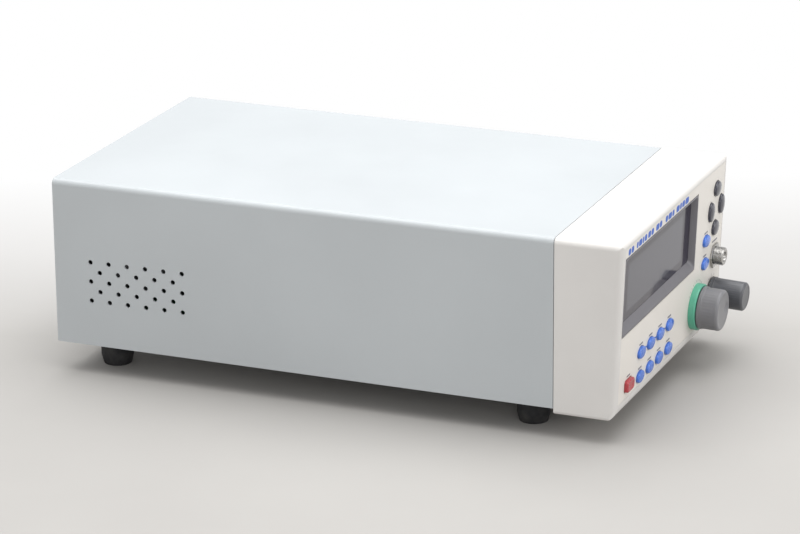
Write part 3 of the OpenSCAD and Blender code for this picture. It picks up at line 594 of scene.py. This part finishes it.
# ---------- coaxial input ----------
def coaxial_input(material):
    """The jack's body with its coupling thread cut as a real helix."""
    low, high = flat_box("rf_input_body")
    c = (low + high) / 2
    radius, shank, bore = 7.94 * MM, 7.6 * MM, 4.1 * MM
    pitch, groove, bevel = 1.06 * MM, 0.55 * MM, 0.5 * MM
    thread_to = FRONT - 2.4 * MM
    flange_r = (high.x - low.x) / 2
    flange_from, flange_to = FRONT + 4.05 * MM, FRONT + 7 * MM
    steps = 64
    run = thread_to - low.y - 0.6 * MM

    def shape(r, t, y):
        if low.y + 0.3 * MM < y < thread_to and r > radius - 0.01 * MM:
            phase = ((y - low.y) / pitch + t / (2 * math.pi)) % 1.0
            r -= groove * abs(2 * phase - 1)
        return r, y

    profile = [(bore, high.y - 2 * MM), (bore, low.y + bevel), (bore + bevel, low.y),
               (radius - 2 * bevel, low.y), (radius - bevel, low.y + 0.3 * MM)]
    profile += [(radius, low.y + bevel + run * i / steps) for i in range(steps + 1)]
    profile += [(radius, thread_to), (shank, thread_to), (shank, flange_from), (flange_r, flange_from),
                (flange_r, flange_to), (shank, flange_to), (shank, high.y), (bore, high.y)]
    jack = turned("rf_input_jack", c.x, c.z, profile, 96, 50, shape)
    return stand_for(jack, "rf_input_body", material, True)


# ---------- screws ----------
REAR_SHANK_R = 1.35 * MM
COVER_SHANK_R = 1.8 * MM
# Each screw stopped at its own turn of the driver.
TURN_PER_SCREW = 1.3


def cut_with(piece, cutter):
    """Cuts the cutter out of the piece for good."""
    modifier = piece.modifiers.new("cut", "BOOLEAN")
    modifier.operation = "DIFFERENCE"
    modifier.solver = "EXACT"
    modifier.object = cutter
    evaluated = piece.evaluated_get(bpy.context.evaluated_depsgraph_get())
    mesh = bpy.data.meshes.new_from_object(evaluated)
    piece.modifiers.clear()
    piece.data = mesh
    bpy.data.objects.remove(cutter)


def screw_mesh(radius, height, shank_r, shank):
    """A pan-head screw with a cross recess, head towards -Y, seated at y 0."""
    edge = height * 0.7
    profile = [(shank_r, shank), (shank_r, 0), (radius * 0.96, 0), (radius, -0.15 * height),
               (radius, edge - height)]
    profile += [(radius - edge + dx, edge - height - dy) for dx, dy in arc(edge, 6)[1:]]
    head = turned("screw_head", 0, 0, profile, 48, 40)
    reach, wide, deep = radius * 0.62, radius * 0.17, height * 0.6
    taper = 0.45
    block = ((0, 1, 2, 3), (7, 6, 5, 4), (0, 4, 5, 1), (1, 5, 6, 2), (2, 6, 7, 3), (3, 7, 4, 0))
    for along, across in ((reach, wide), (wide, reach)):
        verts = []
        for y, shrink in ((-height - MM, 1.0), (-height + deep, taper)):
            half_x = along * (shrink if along > across else 1)
            half_z = across * (shrink if across > along else 1)
            verts += [(-half_x, y, -half_z), (half_x, y, -half_z), (half_x, y, half_z), (-half_x, y, half_z)]
        cut_with(head, mesh_object("screw_cutter", verts, block))
    mesh = head.data
    smooth(mesh, 40)
    bpy.data.objects.remove(head)
    return mesh


def solids_boxes(node):
    """Boxes of the separate solids in a CAD node."""
    work = bmesh.new()
    work.from_mesh(frame["nodes"][node].data)
    bmesh.ops.remove_doubles(work, verts=work.verts, dist=SAME_PLACE)
    left = set(work.verts)
    boxes = []
    while left:
        stack = [left.pop()]
        points = []
        while stack:
            vert = stack.pop()
            points.append(vert.co.copy())
            for edge in vert.link_edges:
                other = edge.other_vert(vert)
                if other in left:
                    left.remove(other)
                    stack.append(other)
        boxes.append((Vector(map(min, *points)), Vector(map(max, *points))))
    work.free()
    return sorted(boxes, key=lambda box: tuple(round(v, 5) for v in box[0]))


def screws(node, material, axis, head_r, head_h):
    """Recessed screws in the places of a group of plain ones; their heads point to +Y or, for "-Z", down."""
    work = bmesh.new()
    for i, (low, high) in enumerate(solids_boxes(node)):
        c = (low + high) / 2
        if axis == "Y":
            length = high.y - low.y - head_h
            mesh = screw_mesh(head_r, head_h, REAR_SHANK_R, length)
            turn = Matrix.Translation((c.x, high.y - head_h, c.z)) @ Matrix.Rotation(math.pi, 4, "Z")
        else:
            length = high.z - low.z - head_h
            mesh = screw_mesh(head_r, head_h, COVER_SHANK_R, length)
            turn = Matrix.Translation((c.x, c.y, low.z + head_h)) @ Matrix.Rotation(math.pi / 2, 4, "X")
        spin = Matrix.Rotation(TURN_PER_SCREW * i, 4, "Y")
        mesh.transform(turn @ spin)
        work.from_mesh(mesh)
        bpy.data.meshes.remove(mesh)
    group = bpy.data.meshes.new(node + "_cut")
    work.to_mesh(group)
    work.free()
    smooth(group, 40)
    return stand_for(new_object(node + "_cut", group), node, material)


# ---------- fan ----------
HUB_R = 18 * MM
BLADES = 7
RADIAL_STEPS = 10
CHORD_STEPS = 8
ROOT_PITCH, TIP_PITCH = 56, 36
ROOT_CHORD, TIP_CHORD = 17, 22
BLADE_BOW = 2.2 * MM
BLADE_HALF_T = 0.55 * MM
SWEEP = 0.25


def blade_point(c, half_depth, tip_r, turn, side, f, u):
    """A point of a blade: f runs from root to tip, u from -0.5 to 0.5 along the chord."""
    r = (HUB_R - 0.5 * MM) * (1 - f) + tip_r * f
    pitch = math.radians(ROOT_PITCH + (TIP_PITCH - ROOT_PITCH) * f)
    along = u * (ROOT_CHORD + (TIP_CHORD - ROOT_CHORD) * f) * MM
    rise = BLADE_BOW * (1 - 4 * u * u) + side * BLADE_HALF_T * (1 - (2 * u) ** 4 * 0.7)
    y = along * math.sin(pitch) * 0.9 + rise * math.cos(pitch)
    y = max(-half_depth, min(half_depth, y))
    swing = (along * math.cos(pitch) - rise * math.sin(pitch)) / r
    a = turn + swing + SWEEP * f
    return c.x + r * math.cos(a), c.y + y, c.z + r * math.sin(a)


def make_rotor(material):
    """A turned hub and seven twisted, cambered blades, each a closed skin."""
    low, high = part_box("fan_rotor")
    c = (low + high) / 2
    edge = 1.5 * MM
    profile = [(HUB_R - 1 * MM, low.y), (HUB_R, low.y + 1 * MM), (HUB_R, high.y - edge)]
    profile += [(HUB_R - edge + dx, high.y - edge + dy) for dx, dy in arc(edge, 5)[1:]]
    profile += [(HUB_R - 5 * MM, high.y), (HUB_R - 5.3 * MM, high.y - 0.3 * MM),
                (1 * MM, high.y - 0.3 * MM)]
    rotor = turned("fan_rotor_hub", c.x, c.z, profile, 64, 35)
    tip_r = (high.x - low.x) / 2
    half_depth = (high.y - low.y) / 2 - 1.6 * MM
    stride = CHORD_STEPS + 1
    sheet = stride * (RADIAL_STEPS + 1)
    verts, faces = [], []
    for b in range(BLADES):
        base = len(verts)
        for side in (-1, 1):
            for i in range(RADIAL_STEPS + 1):
                for j in range(stride):
                    verts.append(blade_point(c, half_depth, tip_r, 2 * math.pi * b / BLADES, side,
                                             i / RADIAL_STEPS, j / CHORD_STEPS - 0.5))
        for i in range(RADIAL_STEPS):
            for j in range(CHORD_STEPS):
                q = base + i * stride + j
                quad = (q, q + 1, q + 1 + stride, q + stride)
                faces.append(quad)
                faces.append(tuple(v + sheet for v in quad[::-1]))
        rim = [base + j for j in range(stride)]
        rim += [base + i * stride + CHORD_STEPS for i in range(1, RADIAL_STEPS + 1)]
        rim += [base + RADIAL_STEPS * stride + j for j in range(CHORD_STEPS - 1, -1, -1)]
        rim += [base + i * stride for i in range(RADIAL_STEPS - 1, 0, -1)]
        for q, w in zip(rim, rim[1:] + rim[:1]):
            faces.append((w, q, q + sheet, w + sheet))
    wheel = mesh_object("fan_rotor_blades", verts, faces, 60)
    stand_for(rotor, "fan_rotor", material)
    stand_for(wheel, "fan_rotor", material)


# ---------- printed marks ----------
INK_T = 0.04 * MM


class Print:
    """Thin raised ink on the panel: bars and ticks gathered into one mesh."""

    def __init__(self, y):
        self.y = y
        self.verts = []
        self.faces = []

    def patch(self, outline):
        base = len(self.verts)
        count = len(outline)
        for y in (self.y, self.y - INK_T):
            self.verts += [(x, y, z) for x, z in outline]
        self.faces.append(tuple(base + i for i in range(count)))
        self.faces.append(tuple(base + count + i for i in range(count))[::-1])
        for i in range(count):
            k = (i + 1) % count
            self.faces.append((base + i, base + k, base + count + k, base + count + i))

    def bar(self, x, z, w, h):
        """A rounded bar whose lower left corner is at (x, z)."""
        r = min(w, h) * 0.35
        self.patch([(p[0], p[2]) for p in rect_ring(x, x + w, z, z + h, 0, r, 3)])

    def tick(self, cx, cz, r0, r1, angle, width):
        c, s = math.cos(angle), math.sin(angle)
        px, pz = -s * width / 2, c * width / 2
        self.patch([(cx + c * r0 + px, cz + s * r0 + pz), (cx + c * r1 + px, cz + s * r1 + pz),
                    (cx + c * r1 - px, cz + s * r1 - pz), (cx + c * r0 - px, cz + s * r0 - pz)])

    def finish(self, name, material):
        piece = mesh_object(name, self.verts, self.faces)
        piece.data.transform(LEAN)
        return add_to(piece, "chassis", material)


# The words along the top edge: where each starts from the left side, and its letters' widths.
HEADING = ((14, (6, 6)), (34, (4, 8, 3.5, 6)), (62, (7, 6)), (82, (8, 6)),
           (106, (6, 9, 5)), (134, (8, 4.5, 7, 9)))
HEADING_UP = 131.8 * MM
HEADING_H = 5.4 * MM
HEADING_GAP = 1.3
TICK_W = 0.5 * MM


def legend(ink, key, up, width, height):
    """A bar centred above a control."""
    ink.bar(key.x - width / 2, key.z + up, width, height)


def panel_marks(blue, grey):
    """Plain bars where the real panel has its legends; nothing is spelled out."""
    y = flat_box("front_overlay")[0].y
    ink = Print(y)
    for start, widths in HEADING:
        x = LEFT + start * MM
        for w in widths:
            ink.bar(x, BOTTOM + HEADING_UP, w * MM, HEADING_H)
            x += (w + HEADING_GAP) * MM
    keys = [centre(f"function_key_{i}") for i in range(1, 9)]
    for a, b in zip(keys[:3], keys[1:4]):
        ink.bar(a.x + 9 * MM, a.z - 0.9 * MM, b.x - a.x - 18 * MM, 1.8 * MM)
    ink.finish("panel_print_blue", blue)
    fine = Print(y)
    for key in keys + [centre("menu_key"), centre("enter_key")]:
        legend(fine, key, 6.6 * MM, 9 * MM, 1.4 * MM)
    legend(fine, centre("power_button"), 7 * MM, 8 * MM, 1.4 * MM)
    tuning = centre("tuning_knob")
    for i in range(-5, 6):
        fine.tick(tuning.x, tuning.z, 21.2 * MM, 23.2 * MM, math.pi / 2 + i * 0.18, TICK_W)
    level = centre("level_knob")
    for i in range(-5, 6):
        fine.tick(level.x, level.z, 14.2 * MM, 16 * MM, math.radians(90 + 30 * i), TICK_W)
    legend(fine, centre("rf_input_body"), 12.4 * MM, 14 * MM, 1.5 * MM)
    fine.finish("panel_print_grey", grey)


# ---------- stage ----------
FLOOR_SIZE = 30
# How far behind the origin the floor has turned into its painted white glow.
FLOOR_FADE = 0.46


def area_light(name, place, aim, size, power, color=(1, 1, 1)):
    data = bpy.data.lights.new(name, "AREA")
    data.shape = "RECTANGLE"
    data.size, data.size_y = size
    data.energy = power
    data.color = color
    lamp = bpy.data.objects.new(name, data)
    bpy.context.scene.collection.objects.link(lamp)
    lamp.location = place
    lamp.rotation_mode = "QUATERNION"
    lamp.rotation_quaternion = (Vector(aim) - Vector(place)).to_track_quat("-Z", "Y")


def make_stage():
    bpy.ops.mesh.primitive_plane_add(size=FLOOR_SIZE, location=(0, 0, 0))
    floor = bpy.context.object
    floor.name = "floor"
    away = Vector((-math.sin(CAMERA_AZIMUTH), math.cos(CAMERA_AZIMUTH), 0))
    floor.data.materials.append(floor_material(away * FLOOR_FADE, away))
    world = bpy.data.worlds.new("world")
    world.use_nodes = True
    background = world.node_tree.nodes["Background"]
    background.inputs["Color"].default_value = (1.0, 1.0, 1.0, 1.0)
    background.inputs["Strength"].default_value = 0.66
    bpy.context.scene.world = world
    area_light("top_box", (0.1, 0.1, 1.7), (0, 0, 0), (2.2, 2.2), 47)
    area_light("side_box", (-2.2, -1.0, 0.9), (0, 0, 0.1), (1.6, 1.2), 9)
    area_light("front_box", (0.6, -2.2, 0.8), (0, -0.2, 0.1), (1.4, 1.0), 14)
    view = bpy.context.scene.view_settings
    view.view_transform = "Standard"
    view.look = "None"


# ---------- the instrument ----------
def dress():
    paint = cover_paint()
    beige = moulded("front_plastic", (0.655, 0.637, 0.617), 0.48, 1500, 0.22)
    cream = moulded("panel_label", (0.72, 0.69, 0.645), 0.42, 2200, 0.10)
    blue = polished("blue_key", (0.045, 0.16, 0.62), 0.25)
    dark = polished("dark_key", (0.045, 0.045, 0.062), 0.16)
    red = polished("red_button", (0.42, 0.035, 0.045), 0.28)
    green = moulded("green_collar", (0.10, 0.42, 0.28), 0.35, 900, 0.08, coat=0.2)
    knob_grey = moulded("knob_grey", (0.20, 0.20, 0.212), 0.40, 1300, 0.16, coat=0.15)
    knob_dark = moulded("knob_dark", (0.085, 0.088, 0.098), 0.38, 1300, 0.16, coat=0.15)
    surround = moulded("window_surround", (0.16, 0.155, 0.17), 0.45, 1500, 0.18)
    nickel = metal("connector_nickel", (0.50, 0.49, 0.475), 0.26)
    bright = metal("screw_steel", (0.63, 0.63, 0.64), 0.22)
    shaft = metal("shaft_steel", (0.55, 0.55, 0.56), 0.34, (1, 12, 1))
    zinc = zinc_sheet()
    tin = metal("tin_plate", (0.68, 0.68, 0.66), 0.33, (1, 8, 1))
    gold = metal("contact_gold", (0.83, 0.58, 0.22), 0.20)
    brass = metal("post_brass", (0.72, 0.50, 0.20), 0.28)
    wire = metal("guard_chrome", (0.60, 0.60, 0.61), 0.16)
    bar = metal("bail_steel", (0.58, 0.59, 0.60), 0.20)
    black = moulded("black_plastic", (0.020, 0.020, 0.022), 0.42, 1600, 0.2)
    charcoal = moulded("fan_plastic", (0.035, 0.035, 0.038), 0.46, 1500, 0.2)
    white = moulded("insulator_white", (0.80, 0.80, 0.78), 0.35, 900, 0.05)
    board = circuit_board()
    core = laminations()
    foot = rubber()
    lcd = moulded("lcd_parts", (0.05, 0.055, 0.06), 0.3, 1200, 0.1)

    for node, material in {
        "chassis_tray": zinc, "front_subpanel": zinc, "front_bezel": beige, "front_overlay": cream,
        "lcd_module": lcd, "key_board": board, "key_switches": black, "tuning_encoder": shaft,
        "level_pot": shaft, "rf_input_insulator": white, "rf_input_contact": gold,
        "power_switch": black, "main_board": board, "board_standoffs": shaft, "rf_shield_can": tin,
        "rf_shield_lid": tin, "power_supply_board": board, "mains_transformer": core,
        "fan_guard": wire, "iec_pins": nickel, "foot_screws": bright, "tuning_shaft": shaft,
        "level_shaft": shaft, "tilt_bail": bar, "cover_shell": paint, "rear_panel": paint,
    }.items():
        clear_slots(frame["nodes"][node], material)

    for node, width, material in (
        ("fan_frame", 0.4, charcoal), ("iec_inlet_body", 0.5, black), ("fuse_drawer", 0.35, black),
        ("panel_nuts", 0.25, nickel), ("rear_bnc_jacks", 0.2, nickel), ("serial_connector", 0.3, nickel),
        ("ground_post", 0.2, brass), ("front_feet", 0.8, foot), ("rear_feet", 0.8, foot),
    ):
        softened(node, width * MM, material)

    for i in range(1, 9):
        oval_key(f"function_key_{i}", blue)
    for node in ("menu_key", "enter_key"):
        oval_key(node, blue)
    for way in ("up", "down", "left", "right"):
        oval_key("cursor_" + way, dark, edge=1.6 * MM, crown=0.7 * MM)
    power_key(red)
    knob("tuning_knob", knob_grey, 0.12 * MM, True, 3 * MM)
    knob("level_knob", knob_dark, 0.12 * MM, False, 4 * MM)
    make_collar(green)
    display_surround(surround)
    display_pane()
    coaxial_input(nickel)
    screws("rear_screws", bright, "Y", 3 * MM, 1.9 * MM)
    screws("cover_screws", bright, "-Z", 3.6 * MM, 2.2 * MM)
    make_rotor(charcoal)
    panel_marks(moulded("ink_blue", (0.035, 0.12, 0.50), 0.5, 2500, 0.05),
                moulded("ink_grey", (0.16, 0.16, 0.18), 0.5, 2500, 0.05))


make_camera()
dress()
make_stage()
